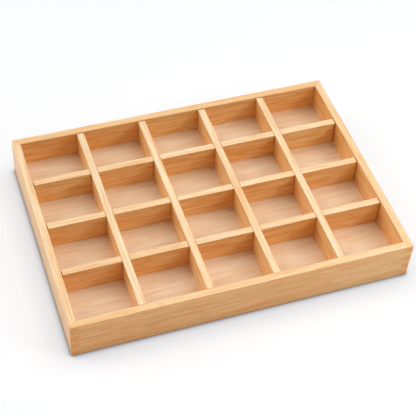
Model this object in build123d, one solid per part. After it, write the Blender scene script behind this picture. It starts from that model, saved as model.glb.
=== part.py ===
from build123d import *
import os

os.makedirs("parts", exist_ok=True)

# Jewelry display tray: a box-jointed bamboo frame, a raised base panel held in its grooves,
# and a loose grid of notched dividers that drops in on the panel. All sizes in millimetres.
# The origin is at table height under the middle of the tray: X runs left to right,
# Y runs front to rear and Z is up.

# Frame
tray_width = 350.0
tray_depth = 250.0
tray_height = 45.0
rail_thickness = 8.0
rail_edge_radius = 0.8

# Corner joints: a shallow mitred cap over a row of box-joint fingers
mitre_cap_height = 2.0
finger_count = 7

# Base panel and the groove that holds it
floor_height = 15.0
panel_thickness = 5.0
groove_depth = 4.0
panel_edge_gap = 0.5

# Divider grid
long_divider_count = 4
cross_divider_count = 3
divider_thickness = 7.35
divider_edge_radius = 0.5
last_column_extra = 3.0
front_row_extra = 2.7
long_divider_drop = 1.0
cross_divider_drop = 1.4
long_divider_end_gap = 0.5
cross_divider_end_gap = 0.8
lap_side_gap = 0.3
lap_depth_gap = 0.4

# Sizes that follow from the ones above
inner_width = tray_width - 2 * rail_thickness
inner_depth = tray_depth - 2 * rail_thickness
finger_height = (tray_height - mitre_cap_height) / finger_count
column_width = (inner_width - long_divider_count * divider_thickness - last_column_extra) / (
    long_divider_count + 1
)
row_depth = (inner_depth - cross_divider_count * divider_thickness - front_row_extra) / (
    cross_divider_count + 1
)
long_divider_height = tray_height - long_divider_drop - floor_height
cross_divider_height = tray_height - cross_divider_drop - floor_height
lap_level = floor_height + cross_divider_height / 2
notch_width = divider_thickness + 2 * lap_side_gap

# Columns are stepped off from the left rail and rows from the rear rail,
# so the last column and the front row take up what is left over.
long_divider_places = [
    -inner_width / 2 + (step + 1) * column_width + (step + 0.5) * divider_thickness
    for step in range(long_divider_count)
]
cross_divider_places = [
    inner_depth / 2 - (step + 1) * row_depth - (step + 0.5) * divider_thickness
    for step in range(cross_divider_count)
]

ON_BASE = (Align.CENTER, Align.CENTER, Align.MIN)


def sanded_frame():
    """The outer form of the glued-up frame, with every outside edge and the inner rim eased."""
    outside = Box(tray_width, tray_depth, tray_height, align=ON_BASE)
    outside = fillet(outside.edges(), rail_edge_radius)
    frame = outside - Box(inner_width, inner_depth, tray_height, align=ON_BASE)
    rim = frame.faces().sort_by(Axis.Z)[-1]
    return fillet(rim.inner_wires().edges(), rail_edge_radius)


def rail(length, holds_top_finger):
    """One rail along X, outer face at y = 0, with its fingers and mitred caps at both ends."""
    bar = Box(length, rail_thickness, tray_height, align=(Align.CENTER, Align.MIN, Align.MIN))
    for step in range(finger_count):
        if (step % 2 == 0) == holds_top_finger:
            continue
        socket_top = tray_height - mitre_cap_height - step * finger_height
        socket = Box(rail_thickness, rail_thickness, finger_height, align=Align.MAX)
        for end_x in (length / 2, -length / 2 + rail_thickness):
            bar -= Pos(end_x, rail_thickness, socket_top) * socket
    for side in (-1, 1):
        end_x = side * length / 2
        waste = Polyline(
            (end_x, 0),
            (end_x, rail_thickness),
            (end_x - side * rail_thickness, rail_thickness),
            close=True,
        )
        bar -= Pos(0, 0, tray_height - mitre_cap_height) * extrude(
            make_face(waste), mitre_cap_height, dir=(0, 0, 1)
        )
    return bar


def panel_space(edge_gap):
    """The base panel's room in the four grooves, less a gap at each of its edges."""
    reach = 2 * (groove_depth - edge_gap)
    panel = Box(inner_width + reach, inner_depth + reach, panel_thickness, align=ON_BASE)
    return Pos(0, 0, floor_height - panel_thickness) * panel


def divider(length, height):
    """A plain divider board along X, standing on the floor, with its upper edges eased."""
    board = Pos(0, 0, floor_height) * Box(length, divider_thickness, height, align=ON_BASE)
    return fillet(board.faces().sort_by(Axis.Z)[-1].edges(), divider_edge_radius)


def notches(places, bottom, top):
    """Blocks that cut one notch at each place along X."""
    block = Box(notch_width, 2 * divider_thickness, top - bottom, align=ON_BASE)
    return [Pos(place, 0, bottom) * block for place in places]


def build_rails():
    """The four rails, with the side rails' fingers showing first below the mitred caps."""
    frame = sanded_frame()
    groove = panel_space(0)
    front = rail(tray_width, holds_top_finger=False)
    side = rail(tray_depth, holds_top_finger=True)
    placed = {
        "front_rail": Pos(0, -tray_depth / 2, 0) * front,
        "rear_rail": Pos(0, tray_depth / 2, 0) * Rot(0, 0, 180) * front,
        "left_rail": Pos(-tray_width / 2, 0, 0) * Rot(0, 0, -90) * side,
        "right_rail": Pos(tray_width / 2, 0, 0) * Rot(0, 0, 90) * side,
    }
    return {name: (piece & frame) - groove for name, piece in placed.items()}


def build_dividers():
    """The grid: long dividers notched from below ride over cross dividers notched from above."""
    pieces = {}
    cross = divider(inner_width - 2 * cross_divider_end_gap, cross_divider_height)
    cross -= notches(long_divider_places, lap_level, tray_height)
    for number, place in enumerate(cross_divider_places, start=1):
        pieces[f"cross_divider_{number}"] = Pos(0, place, 0) * cross
    long = divider(inner_depth - 2 * long_divider_end_gap, long_divider_height)
    long -= notches(cross_divider_places, floor_height, lap_level + lap_depth_gap)
    for number, place in enumerate(long_divider_places, start=1):
        pieces[f"long_divider_{number}"] = Pos(place, 0, 0) * Rot(0, 0, 90) * long
    return pieces


tray = build_rails()
tray["base_panel"] = panel_space(panel_edge_gap)
tray.update(build_dividers())
for node, shape in tray.items():
    export_step(shape, f"parts/{node}.step")
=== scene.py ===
import math

import bmesh
import bpy
from mathutils import Euler, Matrix, Vector


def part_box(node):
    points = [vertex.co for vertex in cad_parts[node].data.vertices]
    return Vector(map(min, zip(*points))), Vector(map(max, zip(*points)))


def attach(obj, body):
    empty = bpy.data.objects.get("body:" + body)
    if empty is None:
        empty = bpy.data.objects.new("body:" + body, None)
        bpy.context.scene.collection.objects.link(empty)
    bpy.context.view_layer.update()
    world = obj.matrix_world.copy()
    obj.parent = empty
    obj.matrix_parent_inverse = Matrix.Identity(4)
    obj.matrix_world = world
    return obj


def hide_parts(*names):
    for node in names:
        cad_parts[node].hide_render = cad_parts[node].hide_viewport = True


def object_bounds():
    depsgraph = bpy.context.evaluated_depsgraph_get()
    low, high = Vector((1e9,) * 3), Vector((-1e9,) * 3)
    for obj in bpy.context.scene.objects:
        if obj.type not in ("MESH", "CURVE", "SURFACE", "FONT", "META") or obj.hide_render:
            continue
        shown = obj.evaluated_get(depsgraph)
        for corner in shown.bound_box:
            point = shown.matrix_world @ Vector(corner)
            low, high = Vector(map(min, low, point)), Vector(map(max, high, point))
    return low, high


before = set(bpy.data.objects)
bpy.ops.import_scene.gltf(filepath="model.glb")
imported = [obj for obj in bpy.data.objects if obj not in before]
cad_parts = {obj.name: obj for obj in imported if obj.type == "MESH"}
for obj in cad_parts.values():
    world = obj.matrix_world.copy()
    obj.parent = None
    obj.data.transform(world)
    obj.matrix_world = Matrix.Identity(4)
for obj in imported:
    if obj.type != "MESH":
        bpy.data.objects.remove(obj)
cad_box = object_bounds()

# Frame rails
# Four boards of natural bamboo, planed, box-jointed at the corners under a shallow mitred cap,
# glued up round the base panel and sanded as one frame, so only its outside edges and its
# inner rim are eased. The finish is a thin satin lacquer.

rail_names = ["front_rail", "rear_rail", "left_rail", "right_rail"]
tray_low, tray_high = Vector(cad_box[0]), Vector(cad_box[1])
tray_width, tray_depth, tray_height = tray_high - tray_low
panel_low, panel_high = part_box("base_panel")
rail_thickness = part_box("front_rail")[1].y - tray_low.y
mitre_cap_height = 0.002
finger_count = 7
finger_height = (tray_height - mitre_cap_height) / finger_count
groove_depth = 0.004
rail_edge_radius = 0.0008
# How far a cut goes on past the wood that it takes away
cut_margin = 0.001
# Each socket is a little taller than its finger, so the lowest one opens through the underside
socket_play = 0.00002
# Half the width, along the rail, of the fine open line in a mitre
mitre_line = 0.00012
mm_per_metre = 1000
# How far along the bamboo each rail is sawn from it, in mm, so that no two rails look alike
rail_shifts = (45.0, 137.0, 291.0, 433.0)
# How pale the sides and the narrow edges of each rail are, from honey at 0 to pale at 1, and how
# much paler it grows per metre along it; the front rail grows paler from left to right, partly in
# the bamboo's own colour and partly as painted light, brighter towards the lamps on the right
rail_tones = ((0.12, 0.2, 0.7), (0.6, -0.15, 0.0), (0.35, 0.65, 0.0), (0.55, 0.3, 0.0))


def add(tree, kind, inputs=None, **settings):
    """Add a node with its settings; each input takes a value, a socket or a list of sockets."""
    node = tree.nodes.new(kind)
    for setting, value in settings.items():
        setattr(node, setting, value)
    for socket, value in (inputs or {}).items():
        if isinstance(value, bpy.types.NodeSocket):
            tree.links.new(value, node.inputs[socket])
        elif isinstance(value, list):
            for one in value:
                tree.links.new(one, node.inputs[socket])
        else:
            node.inputs[socket].default_value = value
    return node


def linear(hex_colour):
    """Turn an sRGB hex colour into the linear colour that a shader takes."""
    parts = [int(hex_colour[place:place + 2], 16) / 255 for place in (1, 3, 5)]
    return (*(p / 12.92 if p <= 0.04045 else ((p + 0.055) / 1.055) ** 2.4 for p in parts), 1.0)


def new_finish(name):
    """An empty material of a name, and its node tree."""
    material = bpy.data.materials.new(name)
    material.use_nodes = True
    material.node_tree.nodes.clear()
    return material, material.node_tree


def streaks(tree, place, length, width, look):
    """Noise drawn out along X, the way of the fibres, into streaks of a length and width in mm."""
    way = add(tree, "ShaderNodeVectorMath", {0: place, 1: (1 / length, 1 / width, 1 / width)},
              operation="MULTIPLY").outputs[0]
    return add(tree, "ShaderNodeTexNoise", {"Vector": way, "Scale": 1.0, **look}).outputs


def bamboo(name, tone_name, pale, honey, amber, strip_size, strip_axis, depths, wander, shift):
    """Bamboo seen along its fibres: glued strips, soft bands, thin lines, fibre and knuckles.
    The board attribute holds millimetres along, through and up the board. The depths say how far
    the bands, lines and fibres turn to amber, the wander is how far in mm the fibres stray, and
    the shift in mm keeps two grains from being the same."""
    band_depth, line_depth, fibre_depth = depths
    material, tree = new_finish(name)
    board = add(tree, "ShaderNodeAttribute", attribute_name="board").outputs["Vector"]
    board_tone = add(tree, "ShaderNodeAttribute", attribute_name=tone_name).outputs["Fac"]
    place = add(tree, "ShaderNodeVectorMath", {0: board, 1: shift}, operation="ADD").outputs[0]
    parts = add(tree, "ShaderNodeSeparateXYZ", {0: place})

    # Each strip of the lamination was a different cane, so its tone steps a little
    strip = add(tree, "ShaderNodeMath", {0: parts.outputs[strip_axis], 1: strip_size},
                operation="DIVIDE").outputs[0]
    strip_number = add(tree, "ShaderNodeMath", {0: strip}, operation="FLOOR").outputs[0]
    strip_tone = add(tree, "ShaderNodeTexWhiteNoise", {"W": strip_number},
                     noise_dimensions="1D").outputs["Value"]

    # The fibres wander to and fro over the length of a hand
    bend = streaks(tree, place, 75, 30, {"Detail": 0.0})
    bent = add(tree, "ShaderNodeVectorMath", {0: bend["Color"], 1: (0.0, wander, wander), 2: place},
               operation="MULTIPLY_ADD").outputs[0]

    # Soft amber bands 3 to 6 mm wide and up to 200 mm long, where fibre runs denser
    bands = streaks(tree, bent, 110, 5.5, {"Detail": 1.0})["Fac"]
    band_mask = add(tree, "ShaderNodeMapRange", {"Value": bands, "From Min": 0.38, "From Max": 0.70,
                    "To Min": 0.0, "To Max": band_depth}, interpolation_type="SMOOTHSTEP").outputs[0]

    # Thin amber lines about 1 mm wide and 2 to 4 mm apart between the bundles, drawn where a
    # slow noise is within a little of its middle value, so that each one runs on and wanders
    middle = 0.5
    line_reach = 0.055
    lines = streaks(tree, bent, 120, 4.2, {"Detail": 1.0})["Fac"]
    off_line = add(tree, "ShaderNodeMath", {0: lines, 1: middle}, operation="SUBTRACT").outputs[0]
    off_line = add(tree, "ShaderNodeMath", {0: off_line}, operation="ABSOLUTE").outputs[0]
    line_mask = add(tree, "ShaderNodeMapRange", {"Value": off_line, "From Min": 0.0,
                    "From Max": line_reach, "To Min": line_depth, "To Max": 0.0},
                    interpolation_type="SMOOTHSTEP").outputs[0]

    # Real fibres are 0.3 mm wide; they are drawn at 0.9 mm so that they show
    fibres = streaks(tree, bent, 30, 0.9, {"Detail": 1.0})["Fac"]
    fibre_mask = add(tree, "ShaderNodeMapRange", {"Value": fibres, "From Min": 0.4, "From Max": 0.65,
                     "To Min": 0.0, "To Max": fibre_depth}).outputs[0]

    # Slow drift of colour over the length of a board, about the tone of the whole board
    drift = add(tree, "ShaderNodeMapRange", {"Value": bend["Fac"], "From Min": 0.3,
                "From Max": 0.7, "To Min": -0.15, "To Max": 0.15}).outputs[0]
    pale_mask = add(tree, "ShaderNodeMath", {0: drift, 1: board_tone}, operation="ADD",
                    use_clamp=True).outputs[0]

    # A knuckle crosses each strip every 360 mm, at a place of the strip's own: a faint amber
    # smudge that reaches 5 mm to each side and whose edge strays by up to 14 mm
    knuckle_spacing = 360.0
    knuckle_reach = 5.0
    raggedness = 14.0
    strip_stagger = 733.0
    staggered = add(tree, "ShaderNodeMath", {0: strip_tone, 1: strip_stagger, 2: parts.outputs[0]},
                    operation="MULTIPLY_ADD").outputs[0]
    ragged = add(tree, "ShaderNodeMath", {0: fibres, 1: raggedness, 2: staggered},
                 operation="MULTIPLY_ADD").outputs[0]
    off_knuckle = add(tree, "ShaderNodeMath", {0: ragged, 1: knuckle_spacing / 2},
                      operation="PINGPONG").outputs[0]
    knuckle_mask = add(tree, "ShaderNodeMapRange", {"Value": off_knuckle, "From Min": 0.0,
                       "From Max": knuckle_reach, "To Min": 0.3, "To Max": 0.0},
                       interpolation_type="SMOOTHSTEP").outputs[0]

    colour = add(tree, "ShaderNodeMix", {0: pale_mask, 6: linear(honey), 7: linear(pale)},
                 data_type="RGBA").outputs[2]
    for mask in (band_mask, line_mask, fibre_mask, knuckle_mask):
        colour = add(tree, "ShaderNodeMix", {0: mask, 6: colour, 7: linear(amber)},
                     data_type="RGBA").outputs[2]

    # Strips differ in brightness by up to 6 percent and fibres by up to 4
    darkest = 0.96
    strip_step = 0.06
    fibre_step = 0.04
    tone = add(tree, "ShaderNodeMath", {0: strip_tone, 1: strip_step, 2: darkest},
               operation="MULTIPLY_ADD").outputs[0]
    level = add(tree, "ShaderNodeMath", {0: fibres, 1: fibre_step, 2: tone},
                operation="MULTIPLY_ADD").outputs[0]
    colour = add(tree, "ShaderNodeVectorMath", {0: colour, "Scale": level}, operation="SCALE").outputs[0]

    # The satin lacquer is a thin coat that follows the fibres
    roughness = add(tree, "ShaderNodeMapRange", {"Value": fibres, "To Min": 0.38,
                    "To Max": 0.52}).outputs[0]
    bump = add(tree, "ShaderNodeBump", {"Strength": 0.12, "Distance": 0.00008, "Height": fibres})
    shader = add(tree, "ShaderNodeBsdfPrincipled", {"Base Color": colour, "Roughness": roughness,
                 "IOR": 1.5, "Normal": bump.outputs[0], "Coat Weight": 0.5, "Coat Roughness": 0.25})
    add(tree, "ShaderNodeOutputMaterial", {"Surface": shader.outputs[0]})
    return material


def bamboo_end(name, ground, dot):
    """Bamboo cut across: closely dotted with the dark ends of its fibre bundles."""
    material, tree = new_finish(name)
    # In mm: how far apart the bundles are, and how large the clouds of paler and darker wood are
    bundle_spacing = 0.9
    cloud_size = 3.0
    # A bundle is drawn out this many times along the board
    bundle_stretch = 20.0
    board = add(tree, "ShaderNodeAttribute", attribute_name="board").outputs["Vector"]
    across = add(tree, "ShaderNodeVectorMath", {0: board, 1: (1 / bundle_stretch, 1.0, 1.0)},
                 operation="MULTIPLY").outputs[0]
    dots = add(tree, "ShaderNodeTexVoronoi", {"Vector": across,
               "Scale": 1 / bundle_spacing}).outputs["Distance"]
    clouds = add(tree, "ShaderNodeTexNoise", {"Vector": across, "Scale": 1 / cloud_size,
                 "Detail": 2.0}).outputs["Fac"]
    mask = add(tree, "ShaderNodeMapRange", {"Value": dots, "From Min": 0.15, "From Max": 0.55,
               "To Min": 0.6, "To Max": 0.0}, interpolation_type="SMOOTHSTEP").outputs[0]
    mixed = add(tree, "ShaderNodeMix", {0: mask, 6: linear(ground), 7: linear(dot)},
                data_type="RGBA").outputs[2]
    # The clouds make the cut up to 15 percent paler or darker
    level = add(tree, "ShaderNodeMath", {0: clouds, 1: 0.3, 2: 0.85}, operation="MULTIPLY_ADD").outputs[0]
    colour = add(tree, "ShaderNodeVectorMath", {0: mixed, "Scale": level}, operation="SCALE").outputs[0]
    shader = add(tree, "ShaderNodeBsdfPrincipled", {"Base Color": colour, "Roughness": 0.5, "IOR": 1.5})
    add(tree, "ShaderNodeOutputMaterial", {"Surface": shader.outputs[0]})
    return material


# Lacquered bamboo, sawn with the fibres: a honey ground with long amber bands and lines, satin
side_grain = bamboo("bamboo side grain, satin lacquer", "side_tone", "#F9DC9D", "#F1B36A", "#DF902C",
                    strip_size=5.5, strip_axis=2, depths=(0.3, 0.7, 0.5), wander=6.0,
                    shift=(0.0, 0.0, 0.0))
# The boards' narrow edges, sanded paler, with fainter and straighter lines
edge_grain = bamboo("bamboo edge grain, satin lacquer", "edge_tone", "#FAE9C3", "#F2CB95", "#E89C46",
                    strip_size=4.0, strip_axis=1, depths=(0.25, 0.45, 0.35), wander=2.5,
                    shift=(0.0, 40.0, 68.0))
# Sawn ends that soak up the lacquer, a little darker and dotted
end_grain = bamboo_end("bamboo end grain, satin lacquer", "#E9A052", "#C87E32")
grains = {"Side Grain": side_grain, "Edge Grain": edge_grain, "End Grain": end_grain}


def new_tree(name, inputs):
    """An empty Geometry Nodes tree that takes the named inputs and the three grains."""
    tree = bpy.data.node_groups.new(name, "GeometryNodeTree")
    for title, kind in inputs.items():
        tree.interface.new_socket(name=title, in_out="INPUT", socket_type=f"NodeSocket{kind}")
    for title in grains:
        tree.interface.new_socket(name=title, in_out="INPUT", socket_type="NodeSocketMaterial")
    tree.interface.new_socket(name="Geometry", in_out="OUTPUT", socket_type="NodeSocketGeometry")
    return tree, add(tree, "NodeGroupInput").outputs


def block(tree, size, centre):
    """A squared block of a size about a centre."""
    cube = add(tree, "GeometryNodeMeshCube", {"Size": size}).outputs["Mesh"]
    return add(tree, "GeometryNodeTransform", {"Geometry": cube, "Translation": centre}).outputs[0]


def row_of_blocks(tree, size, count, start, step):
    """Equal blocks in a row, as the saw cuts them."""
    row = add(tree, "GeometryNodeMeshLine", {"Count": count, "Start Location": start, "Offset": step},
              mode="OFFSET").outputs[0]
    blocks = add(tree, "GeometryNodeInstanceOnPoints", {"Points": row,
                 "Instance": block(tree, size, (0.0, 0.0, 0.0))}).outputs[0]
    return add(tree, "GeometryNodeRealizeInstances", {0: blocks}).outputs[0]


def finish_board(tree, board, given):
    """Give a board's sides, edges and ends their own grain by the way that they face."""
    # A face that leans by less than about 45 degrees counts as square to an axis
    square_from = 0.7
    facing = add(tree, "ShaderNodeSeparateXYZ", {0: add(tree, "GeometryNodeInputNormal").outputs[0]})
    whole = add(tree, "GeometryNodeRealizeInstances", {0: board}).outputs[0]
    whole = add(tree, "GeometryNodeSetMaterial", {"Geometry": whole,
                "Material": given["Side Grain"]}).outputs[0]
    for axis, title in ((2, "Edge Grain"), (0, "End Grain")):
        turned = add(tree, "ShaderNodeMath", {0: facing.outputs[axis]}, operation="ABSOLUTE").outputs[0]
        square = add(tree, "ShaderNodeMath", {0: turned, 1: square_from},
                     operation="GREATER_THAN").outputs[0]
        whole = add(tree, "GeometryNodeSetMaterial", {"Geometry": whole, "Selection": square,
                    "Material": given[title]}).outputs[0]
    add(tree, "NodeGroupOutput", {0: whole})


def rail_tree():
    """A rail along X with its outer face at y = 0: a bar less its groove, its sockets and the
    waste of its mitres, kept only where the sanded form of the whole frame is."""
    tree, given = new_tree("box-jointed rail", {
        "Bar Size": "Vector", "Bar Centre": "Vector",
        "Groove Size": "Vector", "Groove Centre": "Vector",
        "Socket Size": "Vector", "Socket Step": "Vector", "Socket Count": "Int",
        "Left Socket": "Vector", "Right Socket": "Vector",
        "Mitre Size": "Vector", "Mitre Centre": "Vector",
        "Left Corner": "Vector", "Right Corner": "Vector",
        "Sanded Form": "Object",
    })
    waste = [block(tree, given["Groove Size"], given["Groove Centre"])]
    for end, turn in (("Left", 45), ("Right", -45)):
        waste.append(row_of_blocks(tree, given["Socket Size"], given["Socket Count"],
                                   given[f"{end} Socket"], given["Socket Step"]))
        mitre = block(tree, given["Mitre Size"], given["Mitre Centre"])
        waste.append(add(tree, "GeometryNodeTransform", {"Geometry": mitre,
                         "Translation": given[f"{end} Corner"],
                         "Rotation": Euler((0.0, 0.0, math.radians(turn)))}).outputs[0])
    bar = block(tree, given["Bar Size"], given["Bar Centre"])
    cut = add(tree, "GeometryNodeMeshBoolean", {"Mesh 1": bar, "Mesh 2": waste},
              operation="DIFFERENCE", solver="EXACT").outputs[0]
    form = add(tree, "GeometryNodeObjectInfo", {"Object": given["Sanded Form"]},
               transform_space="RELATIVE").outputs["Geometry"]
    sanded = add(tree, "GeometryNodeMeshBoolean", {"Mesh 2": [cut, form]},
                 operation="INTERSECT", solver="EXACT").outputs[0]
    # The mitre passes through corners of the form, which leaves slivers under 0.01 mm to weld
    sliver_size = 0.00001
    welded = add(tree, "GeometryNodeMergeByDistance", {"Geometry": sanded,
                 "Distance": sliver_size}).outputs[0]
    finish_board(tree, welded, given)
    return tree


def made(name, tree, values, place, rounding=0.0):
    """Run a tree on an empty mesh, ease its edges and keep the result as a plain mesh."""
    piece = bpy.data.objects.new(name, bpy.data.meshes.new(name))
    bpy.context.scene.collection.objects.link(piece)
    piece.matrix_world = place
    maker = piece.modifiers.new("make", "NODES")
    maker.node_group = tree
    for socket in tree.interface.items_tree:
        if socket.in_out == "INPUT":
            maker[socket.identifier] = {**grains, **values}[socket.name]
    if rounding:
        easing = piece.modifiers.new("ease", "BEVEL")
        easing.width = rounding
        easing.segments = 3
        easing.limit_method = "ANGLE"
        easing.material = list(grains).index("Edge Grain")
    evaluated = piece.evaluated_get(bpy.context.evaluated_depsgraph_get())
    mesh = bpy.data.meshes.new_from_object(evaluated)
    piece.modifiers.clear()
    piece.data = mesh
    piece.matrix_world = Matrix()
    return piece


def mark_board(piece, place, shift, tones):
    """Store where each point lies on a board in mm, and how pale the board is there; then move
    the board to its place. The shift in mm is how far along the bamboo it is sawn from it."""
    mesh = piece.data
    side, edge, fade = tones
    # A board from farther along also comes from deeper in the bamboo, by this many times the shift
    depth_ratio = 3.1
    spots = [vertex.co * mm_per_metre for vertex in mesh.vertices]
    board = []
    for along, through, up in spots:
        board += [along + shift, through + shift * depth_ratio, up]
    mesh.attributes.new("board", "FLOAT_VECTOR", "POINT").data.foreach_set("vector", board)
    for title, tone in (("side_tone", side), ("edge_tone", edge)):
        # The fade along the board; on the front rail it is partly painted light, paler towards the right
        values = [tone + fade * along / mm_per_metre for along, through, up in spots]
        mesh.attributes.new(title, "FLOAT", "POINT").data.foreach_set("value", values)
    mesh.transform(place)


def sanding_form():
    """The outer form of the finished frame, with rounded outside edges and inner rim."""
    form = bpy.data.objects.new("sanding_form", bpy.data.meshes.new("sanding_form"))
    bpy.context.scene.collection.objects.link(form)
    shape = bmesh.new()
    inset = Vector((rail_thickness, rail_thickness, 0.0))
    rings = []
    for low, high in ((tray_low, tray_high), (tray_low + inset, tray_high - inset)):
        for z in (tray_low.z, tray_high.z):
            rings.append([shape.verts.new((x, y, z)) for x, y in (
                (low.x, low.y), (high.x, low.y), (high.x, high.y), (low.x, high.y))])
    outer_low, outer_high, inner_low, inner_high = rings
    for here in range(4):
        there = (here + 1) % 4
        shape.faces.new((outer_low[here], outer_low[there], outer_high[there], outer_high[here]))
        shape.faces.new((inner_low[there], inner_low[here], inner_high[here], inner_high[there]))
        shape.faces.new((outer_high[here], outer_high[there], inner_high[there], inner_high[here]))
        shape.faces.new((outer_low[there], outer_low[here], inner_low[here], inner_low[there]))
    outer, rim = set(outer_low + outer_high), set(inner_high)
    eased = [edge for edge in shape.edges if set(edge.verts) <= outer or set(edge.verts) <= rim]
    bmesh.ops.bevel(shape, geom=eased, offset=rail_edge_radius, segments=4, profile=0.5,
                    affect="EDGES")
    bmesh.ops.recalc_face_normals(shape, faces=shape.faces)
    shape.to_mesh(form.data)
    return form


jointed_rail = rail_tree()
form = sanding_form()
quarter = math.pi / 2
rail_places = {
    "front_rail": Matrix.Translation((0.0, tray_low.y, 0.0)),
    "rear_rail": Matrix.Translation((0.0, tray_high.y, 0.0)) @ Matrix.Rotation(2 * quarter, 4, "Z"),
    "left_rail": Matrix.Translation((tray_low.x, 0.0, 0.0)) @ Matrix.Rotation(-quarter, 4, "Z"),
    "right_rail": Matrix.Translation((tray_high.x, 0.0, 0.0)) @ Matrix.Rotation(quarter, 4, "Z"),
}
cap_bottom = tray_height - mitre_cap_height
# The blocks that cut the groove and the mitres go on past the wood
groove_reach = groove_depth + cut_margin
mitre_height = mitre_cap_height + cut_margin
mitre_width = 4 * rail_thickness
for number, name in enumerate(rail_names):
    # The long rails start with a socket under the cap and the short rails with a finger
    is_long = name in ("front_rail", "rear_rail")
    length = tray_width if is_long else tray_depth
    fingers_above = 0 if is_long else 1
    first_socket = cap_bottom - finger_height * (fingers_above + 0.5)
    socket_out = length / 2 - rail_thickness / 2 + cut_margin / 2
    rail = made(f"{name}_board", jointed_rail, {
        "Bar Size": (length, rail_thickness, tray_height),
        "Bar Centre": (0.0, rail_thickness / 2, tray_height / 2),
        "Groove Size": (length - 2 * rail_thickness + 2 * groove_depth, groove_reach,
                        panel_high.z - panel_low.z),
        "Groove Centre": (0.0, rail_thickness - groove_depth + groove_reach / 2,
                          (panel_low.z + panel_high.z) / 2),
        "Socket Size": (rail_thickness + cut_margin, rail_thickness + 2 * cut_margin,
                        finger_height + socket_play),
        "Socket Step": (0.0, 0.0, -2 * finger_height),
        "Socket Count": (finger_count + 1 - fingers_above) // 2,
        "Left Socket": (-socket_out, rail_thickness / 2, first_socket),
        "Right Socket": (socket_out, rail_thickness / 2, first_socket),
        "Mitre Size": (mitre_width, mitre_width, mitre_height),
        "Mitre Centre": (0.0, mitre_width / 2, 0.0),
        "Left Corner": (mitre_line - length / 2, 0.0, cap_bottom + mitre_height / 2),
        "Right Corner": (length / 2 - mitre_line, 0.0, cap_bottom + mitre_height / 2),
        "Sanded Form": form,
    }, rail_places[name])
    mark_board(rail, rail_places[name], rail_shifts[number], rail_tones[number])
    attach(rail, "tray")
    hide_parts(name)
bpy.data.objects.remove(form)

# Base panel
# A thin sheet of beech-faced plywood that slides into the rails' grooves before the last rail
# goes on. Its face veneer runs from left to right, under a dull lacquer.


def plywood(name, pale, warm, dark):
    """Rotary-cut face veneer: pinkish, with fine close grain along X."""
    material, tree = new_finish(name)
    metres = add(tree, "ShaderNodeTexCoord").outputs["Object"]
    spot = add(tree, "ShaderNodeVectorMath", {0: metres, "Scale": mm_per_metre},
               operation="SCALE").outputs[0]
    # Broad figure of 90 mm by 14 mm
    figure = streaks(tree, spot, 90, 14, {"Detail": 2.0})["Fac"]
    figure_mask = add(tree, "ShaderNodeMapRange", {"Value": figure, "From Min": 0.35,
                      "From Max": 0.65}).outputs[0]
    base = add(tree, "ShaderNodeMix", {0: figure_mask, 6: linear(pale), 7: linear(warm)},
               data_type="RGBA").outputs[2]
    # Grain lines of 35 mm by 1.2 mm
    grain = streaks(tree, spot, 35, 1.2, {"Detail": 3.0, "Roughness": 0.6, "Distortion": 0.2})["Fac"]
    grain_mask = add(tree, "ShaderNodeMapRange", {"Value": grain, "From Min": 0.46, "From Max": 0.68,
                     "To Max": 0.6}, interpolation_type="SMOOTHSTEP").outputs[0]
    colour = add(tree, "ShaderNodeMix", {0: grain_mask, 6: base, 7: linear(dark)},
                 data_type="RGBA").outputs[2]
    shader = add(tree, "ShaderNodeBsdfPrincipled", {"Base Color": colour, "Roughness": 0.5, "IOR": 1.5})
    add(tree, "ShaderNodeOutputMaterial", {"Surface": shader.outputs[0]})
    return material


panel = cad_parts["base_panel"]
panel.data.materials.clear()
# Beech veneer, sanded and dull: even, pale and pinkish, with short fine lines
panel.data.materials.append(plywood("beech-faced plywood, dull lacquer", "#F0D9BC", "#E8CBA8", "#DEAB68"))

# Divider grid
# Seven boards of the same bamboo, with their edges eased before assembly. The cross dividers are
# notched from above and lie on the base panel; the long dividers, notched from below, ride over
# them in loose cross laps. Nothing is glued, so the grid lifts out.

cross_names = [f"cross_divider_{number}" for number in (1, 2, 3)]
long_names = [f"long_divider_{number}" for number in (1, 2, 3, 4)]
divider_edge_radius = 0.0004
lap_side_gap = 0.0003
lap_depth_gap = 0.0004
# In mm along the bamboo: where the first divider is sawn from it, and how far on each next one is
first_divider_shift = 285.0
divider_shift = 57.0
# How pale the sides and the narrow edges of each divider are, with no fade
divider_tones = ((0.7, 0.6, 0.0), (0.5, 0.65, 0.0), (0.45, 0.6, 0.0),
                 (0.65, 0.75, 0.0), (0.7, 0.8, 0.0), (0.6, 0.75, 0.0), (0.55, 0.8, 0.0))


def divider_tree():
    """A board along X on its edge, less one row of evenly spaced notches."""
    tree, given = new_tree("notched divider", {
        "Board Size": "Vector", "Board Centre": "Vector",
        "Notch Size": "Vector", "First Notch": "Vector", "Notch Step": "Vector", "Notch Count": "Int",
    })
    board = block(tree, given["Board Size"], given["Board Centre"])
    notches = row_of_blocks(tree, given["Notch Size"], given["Notch Count"], given["First Notch"],
                            given["Notch Step"])
    notched = add(tree, "GeometryNodeMeshBoolean", {"Mesh 1": board, "Mesh 2": notches},
                  operation="DIFFERENCE", solver="EXACT").outputs[0]
    finish_board(tree, notched, given)
    return tree


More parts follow.
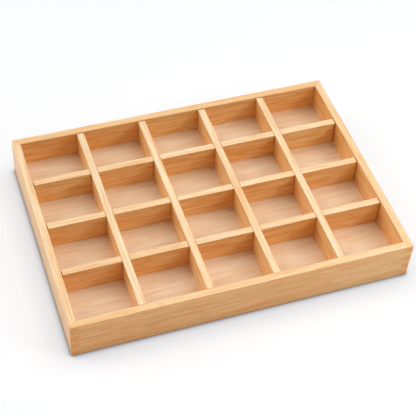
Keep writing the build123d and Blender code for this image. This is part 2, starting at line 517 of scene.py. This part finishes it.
notched_divider = divider_tree()
cross_boxes = [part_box(name) for name in cross_names]
long_boxes = [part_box(name) for name in long_names]
cross_places = [(low.y + high.y) / 2 for low, high in cross_boxes]
long_places = [(low.x + high.x) / 2 for low, high in long_boxes]
divider_thickness = cross_boxes[0][1].y - cross_boxes[0][0].y
lap_level = (cross_boxes[0][0].z + cross_boxes[0][1].z) / 2
boards = [(name, *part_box(name), "cross_dividers", False) for name in cross_names]
boards += [(name, *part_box(name), name, True) for name in long_names]
for number, (name, low, high, body, is_long) in enumerate(boards):
    # A long divider is turned a quarter, with its notches underneath
    length = high.x - low.x
    place = Matrix.Translation((0.0, (low.y + high.y) / 2, 0.0))
    if is_long:
        length = high.y - low.y
        place = Matrix.Translation(((low.x + high.x) / 2, 0.0, 0.0)) @ Matrix.Rotation(quarter, 4, "Z")
    notch_places = cross_places if is_long else long_places
    notch_bottom = low.z - cut_margin if is_long else lap_level
    notch_top = lap_level + lap_depth_gap if is_long else high.z + cut_margin
    divider = made(f"{name}_board", notched_divider, {
        "Board Size": (length, divider_thickness, high.z - low.z),
        "Board Centre": (0.0, 0.0, (low.z + high.z) / 2),
        "Notch Size": (divider_thickness + 2 * lap_side_gap, 2 * divider_thickness,
                       notch_top - notch_bottom),
        "First Notch": (notch_places[0], 0.0, (notch_bottom + notch_top) / 2),
        "Notch Step": (notch_places[1] - notch_places[0], 0.0, 0.0),
        "Notch Count": len(notch_places),
    }, place, rounding=divider_edge_radius)
    mark_board(divider, place, first_divider_shift + number * divider_shift, divider_tones[number])
    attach(divider, body)
    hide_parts(name)

# Table, light and camera
# A plain white table that runs out of the picture, with a painted cool shade and painted contact
# shadow round the tray, a high soft sun on the right, a high and a low one at the rear left, a round
# softbox at the front right, a dim surround that looks white, and a camera above the front left corner.

table_size = 8.0
# The table lies a tenth of a millimetre under the tray, so that their surfaces never coincide
table_gap = 0.0001
# How far from the tray the painted cool shade on the table starts
painted_shade_distance = 0.03
# Two darker painted contact shadows close to the tray: how far each reaches, and how much of the table's
# brightness it leaves at least
painted_contact_shadows = ((0.007, 0.45), (0.003, 0.0))
# The share of the table's look that is a glow
glow_part = 0.6


def seen_rays(tree):
    """One for the rays that show a surface straight, in gloss or through glass, otherwise zero."""
    rays = add(tree, "ShaderNodeLightPath").outputs
    direct = add(tree, "ShaderNodeMath", {0: rays["Is Camera Ray"], 1: rays["Is Glossy Ray"]},
                 operation="MAXIMUM").outputs[0]
    return add(tree, "ShaderNodeMath", {0: direct, 1: rays["Is Transmission Ray"]},
               operation="MAXIMUM").outputs[0]


table = bpy.data.objects.new("table_top", bpy.data.meshes.new("table_top"))
bpy.context.scene.collection.objects.link(table)
corners = [(x * table_size / 2, y * table_size / 2, tray_low.z - table_gap)
           for x, y in ((-1, -1), (1, -1), (1, 1), (-1, 1))]
table.data.from_pydata(corners, [], [(0, 1, 2, 3)])
# Matt white laminate, plain and without gloss. Seen straight or in the lacquer it glows a little,
# which whitens it and keeps the tray's soft shadow. Near the tray its colour and its glow carry a
# painted shade, cool, and deepening to a painted contact shadow at the tray's foot
matt_white, tree = new_finish("matt white laminate")
seen = seen_rays(tree)
# A painted cool shade that deepens towards the tray, drawn from ambient occlusion
painted_wide_shade = add(tree, "ShaderNodeAmbientOcclusion", {"Distance": painted_shade_distance}).outputs["AO"]
painted_wide_shade = add(tree, "ShaderNodeMapRange", {"Value": painted_wide_shade, "From Min": 0.5, "From Max": 1.0}).outputs[0]
painted_shade = add(tree, "ShaderNodeMix", {0: painted_wide_shade, 6: linear("#ECEFF5"), 7: linear("#FFFFFF")},
            data_type="RGBA").outputs[2]
# Painted contact shadows that darken the painted shade further at the tray's foot
for reach, least in painted_contact_shadows:
    painted_contact = add(tree, "ShaderNodeAmbientOcclusion", {"Distance": reach}).outputs["AO"]
    painted_contact = add(tree, "ShaderNodeMapRange", {"Value": painted_contact, "To Min": least}).outputs[0]
    painted_shade = add(tree, "ShaderNodeVectorMath", {0: painted_shade, "Scale": painted_contact}, operation="SCALE").outputs[0]
# The painted shade, a little cooler, is the table's colour where it is seen straight
cool_painted_shade = add(tree, "ShaderNodeVectorMath", {0: painted_shade, 1: linear("#FAFCFF")[:3]},
           operation="MULTIPLY").outputs[0]
white = add(tree, "ShaderNodeMix", {0: seen, 6: linear("#F6F6F6"), 7: cool_painted_shade},
            data_type="RGBA").outputs[2]
matt = add(tree, "ShaderNodeBsdfDiffuse", {"Color": white}).outputs[0]
# The glow carries the painted shade and contact shadow too
glow = add(tree, "ShaderNodeEmission", {"Color": painted_shade}).outputs[0]
glow_share = add(tree, "ShaderNodeMath", {0: seen, 1: glow_part}, operation="MULTIPLY").outputs[0]
laminate = add(tree, "ShaderNodeMixShader", {0: glow_share, 1: matt, 2: glow}).outputs[0]
add(tree, "ShaderNodeOutputMaterial", {"Surface": laminate})
table.data.materials.append(matt_white)

# The surround lights the tray dimly, but is white where it is seen straight or in the lacquer
surround_level = 0.15
world = bpy.data.worlds.new("white surround")
bpy.context.scene.world = world
world.use_nodes = True
tree = world.node_tree
strength = add(tree, "ShaderNodeMapRange", {"Value": seen_rays(tree), "To Min": surround_level,
               "To Max": 1.0}).outputs[0]
surround = tree.nodes["Background"]
surround.inputs["Color"].default_value = linear("#FFFFFF")
tree.links.new(strength, surround.inputs["Strength"])

# In degrees, the tilt from overhead, the way round from the front to the right and the lamp's
# width; then its share of the light
soft_lights = {
    "high_right_light": (26, 100, 50, 0.42),
    "high_left_light": (26, 225, 50, 0.14),
    "low_left_light": (57, 240, 45, 0.44),
    "front_right_softbox": (56, 50, 20, 0.26),
}
softbox_distance = 1.3
for name, (tilt, way_round, width, share) in soft_lights.items():
    is_softbox = name == "front_right_softbox"
    light = bpy.data.lights.new(name, "AREA" if is_softbox else "SUN")
    lamp = bpy.data.objects.new(name, light)
    turn = Euler((math.radians(tilt), 0.0, math.radians(way_round))).to_matrix()
    if is_softbox:
        # It stands near, so that its light falls off from right to left
        light.shape = "DISK"
        light.size = 2 * softbox_distance * math.tan(math.radians(width / 2))
        light.energy = share * (math.pi * softbox_distance) ** 2
        lamp.location = turn @ Vector((0.0, 0.0, softbox_distance))
    else:
        light.energy = share * math.pi
        light.angle = math.radians(width)
    lamp.rotation_euler = turn.to_euler()
    bpy.context.scene.collection.objects.link(lamp)

# The camera fits the tray's edges: its focal length in pixels of the picture, the way that it
# looks, and how far in metres it stands back, to the right and up
image_size = 416
focal_pixels = 1149.87
azimuth = math.radians(-21.954)
elevation = math.radians(49.006)
roll = math.radians(4.465)
distance = 1.2075
right_by = 0.0032
up_by = 0.0128
camera_data = bpy.data.cameras.new("camera")
camera_data.lens = focal_pixels / image_size * camera_data.sensor_width
camera = bpy.data.objects.new("camera", camera_data)
bpy.context.scene.collection.objects.link(camera)
back = Vector((math.sin(azimuth) * math.cos(elevation), -math.cos(azimuth) * math.cos(elevation),
               math.sin(elevation)))
right = (-back).cross(Vector((0, 0, 1))).normalized()
up = right.cross(-back)
rolled_right = right * math.cos(roll) + up * math.sin(roll)
rolled_up = up * math.cos(roll) - right * math.sin(roll)
spot = back * distance + rolled_right * right_by + rolled_up * up_by
turn = Matrix((rolled_right, rolled_up, back)).transposed().to_4x4()
camera.matrix_world = Matrix.Translation(spot) @ turn
bpy.context.scene.camera = camera
bpy.context.scene.view_settings.view_transform = "Standard"
